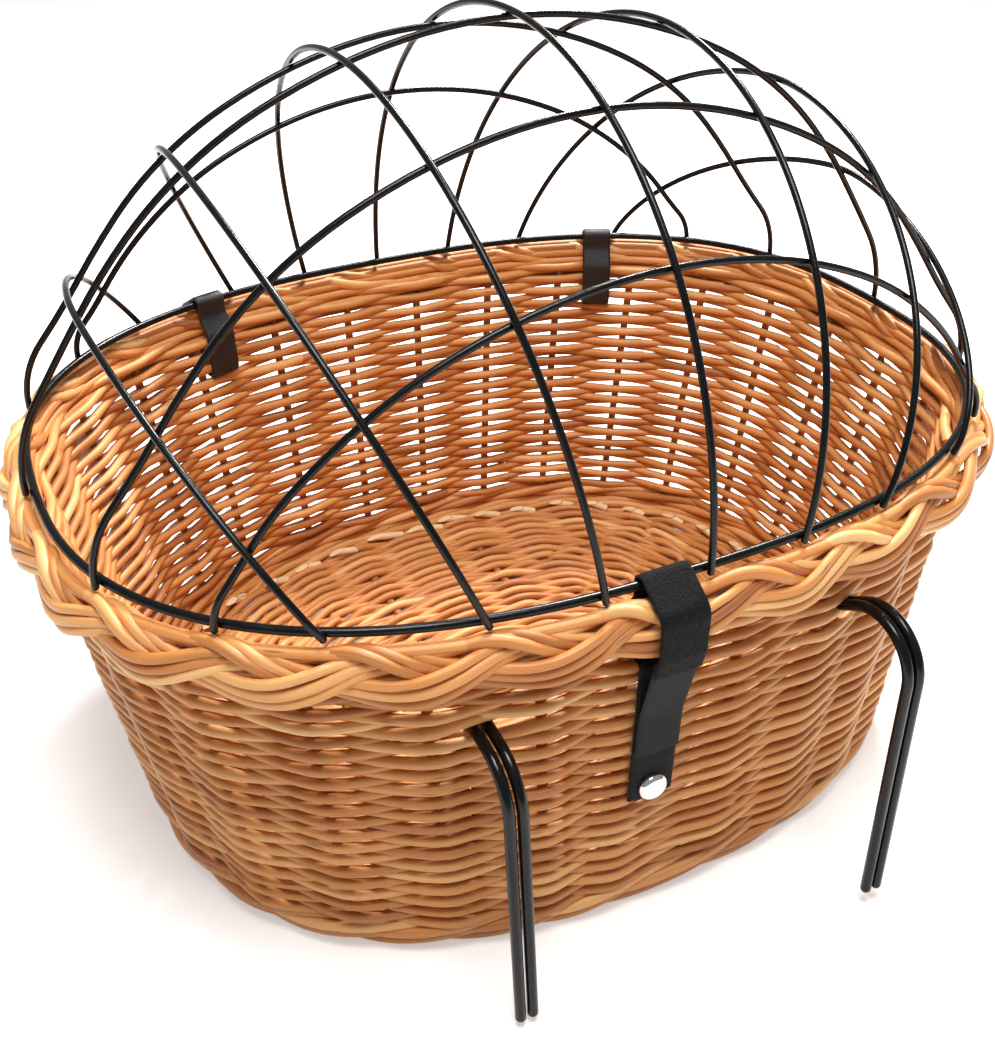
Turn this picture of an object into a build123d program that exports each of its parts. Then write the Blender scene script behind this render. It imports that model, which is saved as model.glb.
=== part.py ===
# A wicker dog basket for a bicycle's handlebar, with a domed wire lid.
# Units are millimetres. +Z is up, X runs along the basket, and the front, with the
# handlebar hooks and the closing band, faces -Y. The origin is the middle of the
# surface that the basket stands on.
import os
from math import atan2, cos, pi, radians, sin, sqrt, tan

from build123d import *

# The oval: every ring of the basket is a superellipse of this power.
oval_power = 2.48
oval_points = 24

# Fineness of what is found by steps or by halving, and what counts as straight
turn_step = 0.002
halvings = 40
stake_search_steps = 40
straight_share = 1e-5
parallel_share = 1e-9

# Lid: ring and hoops
ring_length = 490.0
ring_width = 376.8
ring_wire = 4.2
hoop_wire = 3.3
weld_gap = 0.12
foot_drop = 2.1
hoop_end_round = 1.1

# Each hoop that crosses the basket: its foot along X, its outward lean, its height
# above the ring, and the power of its arch.
cross_hoop_feet = [0.0, 49.8, 99.2, 161.0]
cross_hoop_lean_shares = [0.0, 0.18, 0.414, 0.61]
cross_hoop_heights = [188.0, 175.6, 139.2, 83.0]
cross_hoop_power_shares = [2.0, 1.955, 1.855, 1.69]
cross_hoop_points = 13
cross_hoop_count = 7

# The hoops that run along the basket pass under the crossing hoops.
long_hoop_feet = [-138.0, -88.0, 0.0, 86.0, 134.0]
long_hoop_lean_shares = [-0.09, 0.0, 0.0, 0.0, 0.12]
long_hoop_count = 5

# Border: a plait that lies on the wall and over its outer edge
border_width = 22.0
border_height = 35.0
border_outset = 6.2
lid_rest_gap = 0.3

# Wall
basket_height = 206.0
wall_drop = 20.0
wall_thickness = 12.4
wall_top_outset = 4.0
base_length = 450.0
base_width = 376.0
stake_diameter = 5.0
stake_count = 28
stake_play = 0.15
part_gap = 0.25

# Foot band and base
foot_height = 21.0
foot_width = 24.0
foot_round = 12.0
base_thickness = 11.0
long_stick_count = 5
cross_stick_count = 9
stick_diameter = 5.5
long_stick_pitch_share = 0.122
cross_stick_pitch_share = 0.089
stick_end_margin = 9.0

# Handlebar hooks: two rods side by side, through the wall and down in front of it
hook_rod = 5.4
hook_rod_pitch = 6.3
hook_places = [-99.5, 89.0]
hook_exit_drops = [57.5, 61.5]
hook_exit_rises = [-6.0, 33.0]
hook_reaches = [25.0, 46.0]
hook_leans = [5.5, 1.6]
hook_end_heights = [3.0, 8.0]
hook_bend = 25.0
hook_inner_bend = 9.0
hook_inner_length = 92.0
hook_end_round = 2.2
hook_bar_length = 30.0
hook_bar_height = 4.0
hook_bar_depth = 3.0
hook_bar_drops = [26.0, 82.0]

# Where a band leaves the ring and the border's shoulder, as shares of the radius at
# which it goes round the ring and of the border's half height
peak_share = 1.82
shoulder_share = 0.75

# Closing band at the front
band_place = -20.5
band_width = 24.0
band_thickness = 2.0
band_gap = 0.4
band_loop_gap = 0.7
band_bow = 0.35
band_pivot_drop = 7.0
inner_bend_drop = 16.0
band_slot_drop = 39.0
band_slot_bend = 2.5
band_inner_bend = 4.0
band_shoulder_bend = 8.0
band_end_drop = 121.0
flap_leave_drop = 26.0
flap_overlap = 8.0
flap_lap_start = 2.0
tab_thickness = 1.5
tab_meet_drop = 68.0
tab_bend = 40.0
tab_end_drop = 91.0
rivet_drop = 114.0
rivet_head = 15.0
rivet_head_height = 3.6
rivet_head_round = 3.0
rivet_post = 4.0
rivet_play = 0.1
rivet_washer = 11.0
rivet_washer_thickness = 1.2

# Leather loops that hinge the lid at the back
strap_places = [-116.7, 148.4]
strap_names = ["left", "right"]
strap_width = 18.5
strap_thickness = 2.2
strap_gap = 0.35
strap_bow = 0.3
strap_slot_drop = 45.0
strap_bend = 4.0
strap_hole = 2.6
strap_hole_drops = [9.5, 26.0]
buckle_wire = 2.4
buckle_margin = 1.6
buckle_length = 19.0
buckle_drop = 28.0
buckle_bend = 2.0
prong_wire = 1.8

# Worked out from the sizes above
middle_hoop = (cross_hoop_count + 1) // 2
ring_a = ring_length / 2
ring_b = ring_width / 2
wire_pair = (ring_wire + hoop_wire) / 2 + weld_gap
ring_height = basket_height + lid_rest_gap + ring_wire / 2
border_center = basket_height - border_height / 2
border_bottom = basket_height - border_height
border_a = ring_a + border_outset
border_b = ring_b + border_outset
border_out = border_outset + border_width / 2
shoulder_height = border_center + border_height / 2 * shoulder_share
wall_top_a = ring_a + wall_top_outset
wall_top_b = ring_b + wall_top_outset
base_a = base_length / 2
base_b = base_width / 2
stake_line = wall_thickness / 2
base_middle = base_thickness / 2
long_stick_pitch = base_width * long_stick_pitch_share
cross_stick_pitch = base_length * cross_stick_pitch_share
wall_height = basket_height - wall_drop
hook_exit_heights = [basket_height - drop for drop in hook_exit_drops]
inner_bend_height = basket_height - inner_bend_drop
flap_leave_height = basket_height - flap_leave_drop
tab_meet_height = basket_height - tab_meet_drop
tab_end_height = basket_height - tab_end_drop
rivet_height = basket_height - rivet_drop
band_end_height = basket_height - band_end_drop
hook_sides = ["left", "right"]

os.makedirs("parts", exist_ok=True)


def save(part, name):
    part.label = name
    export_step(part, f"parts/{name}.step")


# Oval geometry

def half_width(x, a, b):
    """Half width of the oval with half axes a and b at the place x."""
    return b * max(0.0, 1 - abs(x / a) ** oval_power) ** (1 / oval_power)


def signed_power(value, power):
    return (1 if value >= 0 else -1) * abs(value) ** power


def oval_point(turn, a, b, height):
    x = a * signed_power(cos(turn), 2 / oval_power)
    y = b * signed_power(sin(turn), 2 / oval_power)
    return Vector(x, y, height)


def oval_normal(turn, a, b):
    """Outward direction of the oval at that turn."""
    x = signed_power(cos(turn), 2 - 2 / oval_power) / a
    y = signed_power(sin(turn), 2 - 2 / oval_power) / b
    return Vector(x, y, 0).normalized()


def oval_turn(x, a, side):
    """The turn at which the oval passes x, on the side of +Y or of -Y."""
    share = signed_power(x / a, oval_power / 2)
    turn = atan2(sqrt(max(0.0, 1 - share ** 2)), share)
    return turn if side > 0 else -turn


def arc_pair(start, start_way, end, end_way):
    """Two arcs that leave start and reach end in the given directions."""
    chord = end - start
    ways = start_way + end_way
    turn = 2 * (1 - start_way.dot(end_way))
    along = chord.dot(ways)
    if turn > parallel_share:
        reach = (sqrt(along ** 2 + turn * chord.dot(chord)) - along) / turn
    else:
        reach = chord.dot(chord) / (2 * along)
    middle = (start + end + (start_way - end_way) * reach) / 2
    first = smooth_arc(start, middle, start_way)
    smooth_arc(middle, end, first % 1)


def smooth_arc(start, end, way):
    chord = (end - start).normalized()
    if chord.cross(way.normalized()).length < straight_share:
        return Line(start, end)
    return TangentArc(start, end, tangent=way)


def arc_chain(points, ways):
    for k in range(len(points) - 1):
        arc_pair(points[k], ways[k], points[k + 1], ways[k + 1])


def oval_chain(a, b, height):
    """The closed oval, as tangent arcs."""
    turns = [2 * pi * k / oval_points for k in range(oval_points)]
    points = [oval_point(turn, a, b, height) for turn in turns]
    ways = [Vector(0, 0, 1).cross(oval_normal(turn, a, b)) for turn in turns]
    arc_chain(points + points[:1], ways + ways[:1])


def oval_prism(a, b, low, high):
    with BuildPart() as prism:
        with BuildSketch(Plane.XY.offset(low)):
            with BuildLine():
                oval_chain(a, b, 0)
            make_face()
        extrude(amount=high - low)
    return prism.part


def oval_cone(low_a, low_b, low, high_a, high_b, high):
    """A straight-sided body between two ovals."""
    with BuildPart() as cone:
        with BuildSketch(Plane.XY.offset(low)):
            with BuildLine():
                oval_chain(low_a, low_b, 0)
            make_face()
        with BuildSketch(Plane.XY.offset(high)):
            with BuildLine():
                oval_chain(high_a, high_b, 0)
            make_face()
        loft(ruled=True)
    return cone.part


# Wall surface: it runs straight from the base oval to the top oval

def wall_share(height):
    return (height - foot_height) / (border_center - foot_height)


def wall_axes(height, inset):
    share = wall_share(height)
    a = base_a + (wall_top_a - base_a) * share - inset
    b = base_b + (wall_top_b - base_b) * share - inset
    return a, b


def wall_y(x, height, inset):
    """Y of the front wall, as a negative number, that far inside its outer face."""
    a, b = wall_axes(height, inset)
    return -half_width(x, a, b)


# Round wires

def round_wire(points, ways, diameter):
    """A wire of that diameter along tangent arcs."""
    with BuildPart() as wire:
        with BuildLine() as path:
            arc_chain(points, ways)
        with BuildSketch(Plane(origin=points[0], z_dir=ways[0])):
            Circle(diameter / 2)
        sweep(path=path.wires()[0])
    return wire.part


def round_ends(part, size):
    """Rounds the two flat ends of a wire."""
    with BuildPart() as wire:
        add(part)
        ends = wire.faces().filter_by(GeomType.PLANE)
        fillet(ends.edges(), size)
    return wire.part


# Lid hoops

def cross_hoop_point(number, turn):
    """A point of a crossing hoop; the turn goes from 0 at the back foot to pi."""
    place = abs(number - middle_hoop)
    side = 1 if number > middle_hoop else -1
    foot = cross_hoop_feet[place]
    power = cross_hoop_power_shares[place]
    half = half_width(foot, ring_a + wire_pair, ring_b + wire_pair)
    rise = cross_hoop_heights[place] * signed_power(sin(turn), 2 / power)
    y = half * signed_power(cos(turn), 2 / power)
    x = side * (foot + cross_hoop_lean_shares[place] * rise)
    return Vector(x, y, ring_height + rise)


def cross_hoop_way(number, turn):
    if turn <= turn_step or turn >= pi - turn_step:
        place = abs(number - middle_hoop)
        side = 1 if number > middle_hoop else -1
        way = Vector(side * cross_hoop_lean_shares[place], 0, 1).normalized()
        return way if turn <= turn_step else way * -1
    ahead = cross_hoop_point(number, turn + turn_step)
    behind = cross_hoop_point(number, turn - turn_step)
    return (ahead - behind).normalized()


def with_feet(points, ways):
    """Lengthens a hoop straight down past the ring at both feet."""
    first = points[0] - ways[0] * foot_drop
    last = points[-1] + ways[-1] * foot_drop
    return [first] + points + [last], [ways[0]] + ways + [ways[-1]]


def cross_hoop(number):
    turns = [pi * k / (cross_hoop_points - 1) for k in range(cross_hoop_points)]
    points = [cross_hoop_point(number, turn) for turn in turns]
    ways = [cross_hoop_way(number, turn) for turn in turns]
    return round_ends(round_wire(*with_feet(points, ways), hoop_wire), hoop_end_round)


def crossing_turn(number, foot, lean):
    """Where a crossing hoop meets the plane of a long hoop, found by halving."""
    low = 0.0
    high = pi
    for _ in range(halvings):
        middle = (low + high) / 2
        point = cross_hoop_point(number, middle)
        if point.Y > foot + lean * (point.Z - ring_height):
            low = middle
        else:
            high = middle
    return (low + high) / 2


def long_hoop(number):
    """A hoop along the basket, welded under each crossing hoop."""
    foot = long_hoop_feet[number - 1]
    lean = long_hoop_lean_shares[number - 1]
    reach = half_width(foot, ring_b + wire_pair, ring_a + wire_pair)
    crossings = range(1, cross_hoop_count + 1)
    turns = [crossing_turn(k, foot, lean) for k in crossings]
    over = [cross_hoop_point(k, turns[k - 1]) for k in crossings]
    ends = [Vector(-reach, foot, ring_height), Vector(reach, foot, ring_height)]
    rough = [ends[0]] + over + [ends[1]]
    points = [ends[0]]
    for k in crossings:
        along = (rough[k + 1] - rough[k - 1]).normalized()
        outward = cross_hoop_way(k, turns[k - 1]).cross(along).normalized()
        if outward.dot(rough[k] - Vector(0, 0, ring_height)) < 0:
            outward = outward * -1
        points.append(rough[k] - outward * (hoop_wire + weld_gap))
    points.append(ends[1])
    ways = [Vector(0, lean, 1).normalized()]
    for k in crossings:
        before = points[k] - points[k - 1]
        after = points[k + 1] - points[k]
        way = before / before.length ** 2 + after / after.length ** 2
        ways.append(way.normalized())
    ways.append(Vector(0, -lean, -1).normalized())
    return round_ends(round_wire(*with_feet(points, ways), hoop_wire), hoop_end_round)


def cage_ring():
    with BuildPart() as ring:
        with BuildLine() as path:
            oval_chain(ring_a, ring_b, ring_height)
        with BuildSketch(Plane(origin=(ring_a, 0, ring_height), z_dir=(0, 1, 0))):
            Circle(ring_wire / 2)
        sweep(path=path.wires()[0])
    return ring.part


# Stakes: the upright rods inside the wall, moved aside where something passes through

def stake_turns():
    steps = stake_count * stake_search_steps
    turns = [2 * pi * k / steps for k in range(steps + 1)]
    points = [oval_point(turn, wall_top_a, wall_top_b, 0) for turn in turns]
    lengths = [0.0]
    for k in range(steps):
        lengths.append(lengths[-1] + (points[k + 1] - points[k]).length)
    chosen = []
    k = 0
    for number in range(stake_count):
        goal = lengths[-1] * (number + 0.5) / stake_count
        while lengths[k] < goal:
            k += 1
        chosen.append(aside(turns[k]))
    return chosen


def aside(turn):
    """The turn of a stake, moved to the edge of what passes through the wall there."""
    side = 1 if sin(turn) > 0 else -1
    for place, half, height in passages(side):
        a, b = wall_axes(height, stake_line)
        x = oval_point(turn, a, b, 0).X
        if abs(x - place) < half:
            turn = oval_turn(place + (half if x > place else -half), a, side)
    return turn


def passages(side):
    """Place, half width with room for a stake, and height of each way through the wall."""
    room = stake_diameter / 2 + stake_play + 2 * part_gap
    if side < 0:
        half = (hook_rod_pitch + hook_rod) / 2 + room
        found = [(place, half, height) for place, height in zip(hook_places, hook_exit_heights)]
        return found + [(band_place, band_width / 2 + room, ring_height - band_slot_drop)]
    slot = ring_height - strap_slot_drop
    found = []
    for number in range(len(strap_places)):
        site = strap_site(number)
        place = site_point(site, wall_out(site, slot, stake_line), slot).X
        found.append((place, strap_width / 2 + room, slot))
    return found


def stakes(growth):
    with BuildPart() as group:
        for turn in stake_turns():
            low = oval_point(turn, *wall_axes(foot_round, stake_line), foot_round)
            high = oval_point(turn, *wall_axes(wall_height, stake_line), wall_height)
            with BuildSketch(Plane(origin=low, z_dir=high - low)):
                Circle(stake_diameter / 2 + growth)
            extrude(amount=(high - low).length)
    return group.part


# Handlebar hooks

def hook_line(number):
    """The corners of a hook's rod, as Y and Z: inner leg, way out, outer leg."""
    place = hook_places[number]
    height = hook_exit_heights[number]
    edge = abs(place) + hook_rod_pitch / 2 + hook_rod / 2
    inset = wall_thickness + part_gap + hook_rod / 2
    low = height - hook_inner_length
    bend_y = wall_y(edge, height, inset)
    out_y = wall_y(place, height, 0) - hook_reaches[number]
    out_z = height + (bend_y - out_y) * tan(radians(hook_exit_rises[number]))
    fall = out_z - hook_end_heights[number]
    end_y = out_y - fall * tan(radians(hook_leans[number]))
    corners = [(wall_y(edge, low, inset), low), (bend_y, height), (out_y, out_z)]
    return corners + [(end_y, hook_end_heights[number])]


def hook_rod_part(number, side, growth):
    x = hook_places[number] + side * hook_rod_pitch / 2
    corners = [Vector(x, y, z) for y, z in hook_line(number)]
    with BuildPart() as rod:
        with BuildLine() as path:
            FilletPolyline(*corners, radius=[hook_inner_bend, hook_bend])
        with BuildSketch(Plane(origin=corners[0], z_dir=corners[1] - corners[0])):
            Circle(hook_rod / 2 + growth)
        sweep(path=path.wires()[0])
    return rod.part


def hook_bars(number):
    """The two flat bars that join a hook's inner legs inside the basket."""
    low, bend = [Vector(hook_places[number], y, z) for y, z in hook_line(number)[:2]]
    leg = Plane(origin=bend, x_dir=(1, 0, 0), z_dir=bend - low)
    back = hook_rod / 2 + weld_gap + hook_bar_depth / 2
    with BuildPart() as bars:
        for drop in hook_bar_drops:
            with Locations(leg * Location((0, back, -drop))):
                Box(hook_bar_length, hook_bar_depth, hook_bar_height)
    return bars.part


# Bands and straps lie in upright planes that cross the ring. A place on one is given
# by how far it lies outside the ring's centre line, and by its height.

def band_site():
    turn = oval_turn(band_place, ring_a, -1)
    return turn, oval_point(turn, ring_a, ring_b, 0), Vector(0, -1, 0)


def strap_site(number):
    turn = oval_turn(strap_places[number], ring_a, 1)
    return turn, oval_point(turn, ring_a, ring_b, 0), oval_normal(turn, ring_a, ring_b)


def site_point(site, out, height):
    return site[1] + site[2] * out + Vector(0, 0, height)


def wall_out(site, height, inset):
    face = oval_point(site[0], *wall_axes(height, inset), 0)
    return (face - site[1]).dot(site[2])


def flat_strip(site, places, bends, width, thickness, closed=False):
    """A flat strip along filleted straight runs."""
    corners = [site_point(site, out, height) for out, height in places]
    across = Vector(0, 0, 1).cross(site[2])
    with BuildPart() as strip:
        with BuildLine() as path:
            FilletPolyline(*corners, radius=bends, close=closed)
        line = path.wires()[0]
        with BuildSketch(Plane(origin=line @ 0, x_dir=across, z_dir=line % 0)):
            Rectangle(width, thickness)
        sweep(path=line)
    return strip.part


# Closing band: a fixed part riveted to the wall, and a flap that goes over the ring

band_ring_out = ring_wire / 2 + band_loop_gap + band_thickness / 2
band_border_out = border_out + band_gap + band_thickness / 2
pivot_height = ring_height - band_pivot_drop
tab_inset = -2 * band_gap - band_thickness - tab_thickness / 2


def closing_band(growth):
    site = band_site()
    slot = ring_height - band_slot_drop
    inner = wall_thickness + band_gap + band_bow + band_thickness / 2
    outer = -band_gap - band_thickness / 2
    bend = inner_bend_height
    places = [
        (-band_ring_out, pivot_height - band_thickness / 2),
        (wall_out(site, bend, inner), bend),
        (wall_out(site, slot, inner), slot),
        (wall_out(site, slot, outer), slot),
        (wall_out(site, band_end_height, outer), band_end_height),
    ]
    bends = [band_inner_bend, band_slot_bend, band_slot_bend]
    grown = 2 * growth
    return flat_strip(site, places, bends, band_width + grown, band_thickness + grown)


def flap_lap():
    """Where the flap leaves the border, its way down from there, the way inward across
    it, and how far its tab lies inside it."""
    site = band_site()
    lap = (band_thickness + tab_thickness) / 2 + weld_gap
    leave = Vector(band_border_out, flap_leave_height, 0)
    meet = Vector(wall_out(site, tab_meet_height, tab_inset), tab_meet_height, 0)
    reach = meet - leave
    turn = atan2(reach.Y, reach.X) + atan2(lap, reach.length)
    return leave, meet, Vector(cos(turn), sin(turn), 0), Vector(sin(turn), -cos(turn), 0) * lap


def closing_flap():
    leave, _, way, _ = flap_lap()
    end = leave + way * (flap_lap_start + flap_overlap)
    places = [
        (-band_ring_out, pivot_height + band_gap / 2),
        (-band_ring_out, ring_height + band_ring_out * peak_share),
        (band_border_out, shoulder_height),
        (leave.X, leave.Y),
        (end.X, end.Y),
    ]
    bends = [band_ring_out, band_shoulder_bend, flap_lap_start]
    return flat_strip(band_site(), places, bends, band_width, band_thickness)


def flap_tab():
    """The stiffer end of the flap, sewn behind it, that grips the band on the wall."""
    site = band_site()
    leave, meet, way, inward = flap_lap()
    start = leave + inward + way * flap_lap_start
    places = [
        (start.X, start.Y),
        (meet.X, meet.Y),
        (wall_out(site, tab_end_height, tab_inset), tab_end_height),
    ]
    return flat_strip(site, places, [tab_bend], band_width, tab_thickness)


# Rivet of the closing band: its plane lies on the wall's face, facing outward

def rivet_plane(out):
    site = band_site()
    foot = site_point(site, wall_out(site, rivet_height, 0), rivet_height)
    above = site_point(site, wall_out(site, basket_height, 0), basket_height)
    facing = Vector(1, 0, 0).cross(above - foot).normalized()
    facing = facing if facing.Y < 0 else facing * -1
    return Plane(origin=foot + facing * out, x_dir=(1, 0, 0), z_dir=facing)


def rivet_cap():
    with BuildPart() as cap:
        with BuildSketch(rivet_plane(2 * band_gap + band_thickness)):
            Circle(rivet_head / 2)
        extrude(amount=rivet_head_height)
        crown = cap.edges().filter_by(GeomType.CIRCLE).sort_by(Axis.Y)[0]
        fillet(crown, rivet_head_round)
    return cap.part


def rivet_shank(growth):
    inner_end = wall_thickness + 2 * part_gap
    with BuildPart() as shank:
        with BuildSketch(rivet_plane(-inner_end)):
            Circle(rivet_post / 2 + growth)
        extrude(amount=inner_end + 2 * band_gap + band_thickness)
    return shank.part


def rivet_back():
    with BuildPart() as back:
        with BuildSketch(rivet_plane(-wall_thickness - 2 * part_gap)):
            Circle(rivet_washer / 2)
        extrude(amount=-rivet_washer_thickness)
    return back.part


# Leather loops

strap_ring_out = ring_wire / 2 + strap_gap + strap_thickness / 2
strap_border_out = border_out + strap_gap + strap_thickness / 2


def strap_loop(number, growth):
    site = strap_site(number)
    slot = ring_height - strap_slot_drop
    inner = wall_thickness + strap_gap + strap_bow + strap_thickness / 2
    places = [
        (wall_out(site, slot, inner), slot),
        (wall_out(site, wall_height, inner), inner_bend_height),
        (-strap_ring_out, pivot_height),
        (-strap_ring_out, ring_height + strap_ring_out * peak_share),
        (strap_border_out, shoulder_height),
        (strap_border_out, slot),
    ]
    bends = [strap_bend, band_shoulder_bend, band_shoulder_bend]
    bends = bends + [strap_ring_out, band_shoulder_bend, strap_bend]
    grown = 2 * growth
    width = strap_width + grown
    return flat_strip(site, places, bends, width, strap_thickness + grown, closed=True)


def strap_holes(number):
    """The punched holes that show on the inner run, just below the ring."""
    site = strap_site(number)
    with BuildPart() as holes:
        for drop in strap_hole_drops:
            start = site_point(site, 0, ring_height - drop)
            with BuildSketch(Plane(origin=start, z_dir=site[2] * -1)):
                Circle(strap_hole / 2)
            extrude(amount=wall_thickness + strap_thickness + strap_bend)
    return holes.part


def buckle_plane(number):
    site = strap_site(number)
    out = strap_border_out + strap_thickness / 2 + strap_gap + buckle_wire / 2
    across = Vector(0, 0, 1).cross(site[2])
    origin = site_point(site, out, ring_height - buckle_drop)
    return Plane(origin=origin, x_dir=across, z_dir=site[2])


def buckle_frame(number):
    half_x = (strap_width + buckle_wire) / 2 + buckle_margin
    half_z = (buckle_length - buckle_wire) / 2
    flat = buckle_plane(number)
    outline = [(-half_x, -half_z), (half_x, -half_z), (half_x, half_z), (-half_x, half_z)]
    corners = [flat.from_local_coords(Vector(x, z, 0)) for x, z in outline]
    with BuildPart() as frame:
        with BuildLine() as path:
            FilletPolyline(*corners, radius=buckle_bend, close=True)
        line = path.wires()[0]
        with BuildSketch(Plane(origin=line @ 0, z_dir=line % 0)):
            Circle(buckle_wire / 2)
        sweep(path=line)
    return frame.part


def buckle_prong(number):
    """The prong lies across the frame, outside its two bars."""
    flat = buckle_plane(number)
    out = (buckle_wire + prong_wire) / 2 + weld_gap
    foot = flat.from_local_coords(Vector(0, -buckle_length / 2, out))
    with BuildPart() as prong:
        with BuildSketch(Plane(origin=foot, z_dir=(0, 0, 1))):
            Circle(prong_wire / 2)
        extrude(amount=buckle_length)
    return prong.part


# Woven pieces, each a closed solid of its outer shape

def border_ring(growth):
    with BuildPart() as border:
        with BuildLine() as path:
            oval_chain(border_a, border_b, border_center)
        start = Vector(border_a, 0, border_center)
        with BuildSketch(Plane(origin=start, x_dir=(1, 0, 0), z_dir=(0, 1, 0))):
            Ellipse(border_width / 2 + growth, border_height / 2 + growth)
        sweep(path=path.wires()[0])
    return border.part


def cut(part, tools):
    with BuildPart() as result:
        add(part)
        for tool in tools:
            add(tool, mode=Mode.SUBTRACT)
    return result.part


def side_weave():
    outer = wall_axes(wall_height, 0)
    inner = wall_axes(wall_height, wall_thickness)
    hollow = wall_axes(foot_height, wall_thickness)
    shell = oval_cone(base_a, base_b, foot_height, *outer, wall_height)
    tools = [oval_cone(*hollow, foot_height, *inner, wall_height)]
    tools.append(border_ring(part_gap))
    tools.append(stakes(stake_play))
    for number in range(len(hook_places)):
        tools.append(hook_rod_part(number, -1, part_gap))
        tools.append(hook_rod_part(number, 1, part_gap))
    tools.append(closing_band(part_gap))
    tools.append(rivet_shank(rivet_play))
    for number in range(len(strap_places)):
        tools.append(strap_loop(number, part_gap))
    return cut(shell, tools)


def foot_wale():
    """The waling round the foot, rounded where it meets the ground."""
    with BuildPart() as band:
        with BuildSketch(Plane.XY):
            with BuildLine():
                oval_chain(base_a, base_b, 0)
            make_face()
        extrude(amount=foot_height)
        fillet(band.faces().sort_by(Axis.Z)[0].edges(), foot_round)
    inner_a = base_a - foot_width
    inner_b = base_b - foot_width
    return cut(band.part, [oval_prism(inner_a, inner_b, 0, foot_height), stakes(stake_play)])


def base_half_length(y):
    inset = foot_width + part_gap
    return half_width(y, base_b - inset, base_a - inset) - stick_end_margin


def base_half_width(x):
    inset = foot_width + part_gap
    return half_width(x, base_a - inset, base_b - inset) - stick_end_margin


def base_sticks(growth):
    """Sticks along the base, slit through the sticks that cross it."""
    with BuildPart() as sticks:
        for k in range(long_stick_count):
            y = (k - (long_stick_count - 1) / 2) * long_stick_pitch
            half = base_half_length(y)
            with BuildSketch(Plane(origin=(-half, y, base_middle), z_dir=(1, 0, 0))):
                Circle(stick_diameter / 2 + growth)
            extrude(amount=2 * half)
        for k in range(cross_stick_count):
            x = (k - (cross_stick_count - 1) / 2) * cross_stick_pitch
            half = base_half_width(x)
            with BuildSketch(Plane(origin=(x, -half, base_middle), z_dir=(0, 1, 0))):
                Circle(stick_diameter / 2 + growth)
            extrude(amount=2 * half)
    return sticks.part


def base_weave():
    a = base_a - foot_width - part_gap
    b = base_b - foot_width - part_gap
    plate = oval_prism(a, b, 0, base_thickness)
    return cut(plate, [base_sticks(stake_play)])


save(foot_wale(), "foot_wale")
save(base_weave(), "base_weave")
save(base_sticks(0), "base_sticks")
save(side_weave(), "side_weave")
save(cut(stakes(0), [border_ring(part_gap)]), "side_stakes")
save(border_ring(0), "border_braid")
for number, side in enumerate(hook_sides):
    outward = -1 if hook_places[number] < 0 else 1
    outer_rod = hook_rod_part(number, outward, 0)
    inner_rod = hook_rod_part(number, -outward, 0)
    save(round_ends(outer_rod, hook_end_round), f"hook_{side}_outer_rod")
    save(round_ends(inner_rod, hook_end_round), f"hook_{side}_inner_rod")
    save(hook_bars(number), f"hook_{side}_bars")
save(cut(closing_band(0), [rivet_shank(rivet_play)]), "closing_band")
save(closing_flap(), "closing_flap")
save(flap_tab(), "flap_tab")
save(rivet_cap(), "rivet_cap")
save(rivet_shank(0), "rivet_post")
save(rivet_back(), "rivet_washer")
for number, side in enumerate(strap_names):
    save(cut(strap_loop(number, 0), [strap_holes(number)]), f"rear_strap_{side}")
    save(buckle_frame(number), f"buckle_{side}")
    save(buckle_prong(number), f"buckle_prong_{side}")
save(cage_ring(), "cage_ring")
for number in range(1, cross_hoop_count + 1):
    save(cross_hoop(number), f"cross_hoop_{number}")
for number in range(1, long_hoop_count + 1):
    save(long_hoop(number), f"long_hoop_{number}")
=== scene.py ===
from math import asin, cos, pi, radians, sin, sqrt

import bpy
import numpy as np
from mathutils import Matrix, Vector


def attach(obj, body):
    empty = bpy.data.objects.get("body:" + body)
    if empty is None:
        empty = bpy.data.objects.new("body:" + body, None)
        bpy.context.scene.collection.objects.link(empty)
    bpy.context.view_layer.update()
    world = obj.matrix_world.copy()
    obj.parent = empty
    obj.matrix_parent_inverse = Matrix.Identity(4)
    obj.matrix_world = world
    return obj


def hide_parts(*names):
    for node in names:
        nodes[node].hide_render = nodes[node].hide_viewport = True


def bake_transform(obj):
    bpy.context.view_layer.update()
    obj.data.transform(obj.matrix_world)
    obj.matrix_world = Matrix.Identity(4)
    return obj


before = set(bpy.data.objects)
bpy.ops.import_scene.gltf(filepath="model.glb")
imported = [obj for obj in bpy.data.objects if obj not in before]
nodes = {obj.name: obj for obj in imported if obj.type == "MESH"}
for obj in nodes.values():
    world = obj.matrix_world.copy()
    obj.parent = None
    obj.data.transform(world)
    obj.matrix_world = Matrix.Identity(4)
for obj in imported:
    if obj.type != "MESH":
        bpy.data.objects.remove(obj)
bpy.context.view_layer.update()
rng = np.random.default_rng(24)
UP = np.array([0.0, 0.0, 1.0])

# Ovals: every ring of the basket is a superellipse of this power
OVAL_POWER = 2.48
OVAL_STEPS = 120
BASE_A, BASE_B = 0.225, 0.188
TOP_A, TOP_B = 0.249, 0.1924
RING_A, RING_B, RING_Z = 0.245, 0.1884, 0.2084
RING_WIRE = 0.0042
FOOT_Z, BORDER_Z = 0.021, 0.1885
BORDER_A, BORDER_B = 0.2512, 0.1946
BORDER_HALF_WIDTH, BORDER_HALF_HEIGHT = 0.011, 0.0175
BORDER_REACH = 0.0172
WALL_THICKNESS = 0.0124

# Rods: sides of their tubes, the angle that counts as an edge, and how far apart their
# grains start
ROD_SIDES, THICK_ROD_SIDES = 8, 10
EDGE_ANGLE = radians(55)
GRAIN_START = 40
TAPER_FROM, TAPER_BY = 1.06, 0.2

# Stakes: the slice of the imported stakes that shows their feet, and the turn between two
FEET_DEPTH, FEET_Z = 0.0008, 0.012
STAKE_BREAK = 0.045

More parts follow.
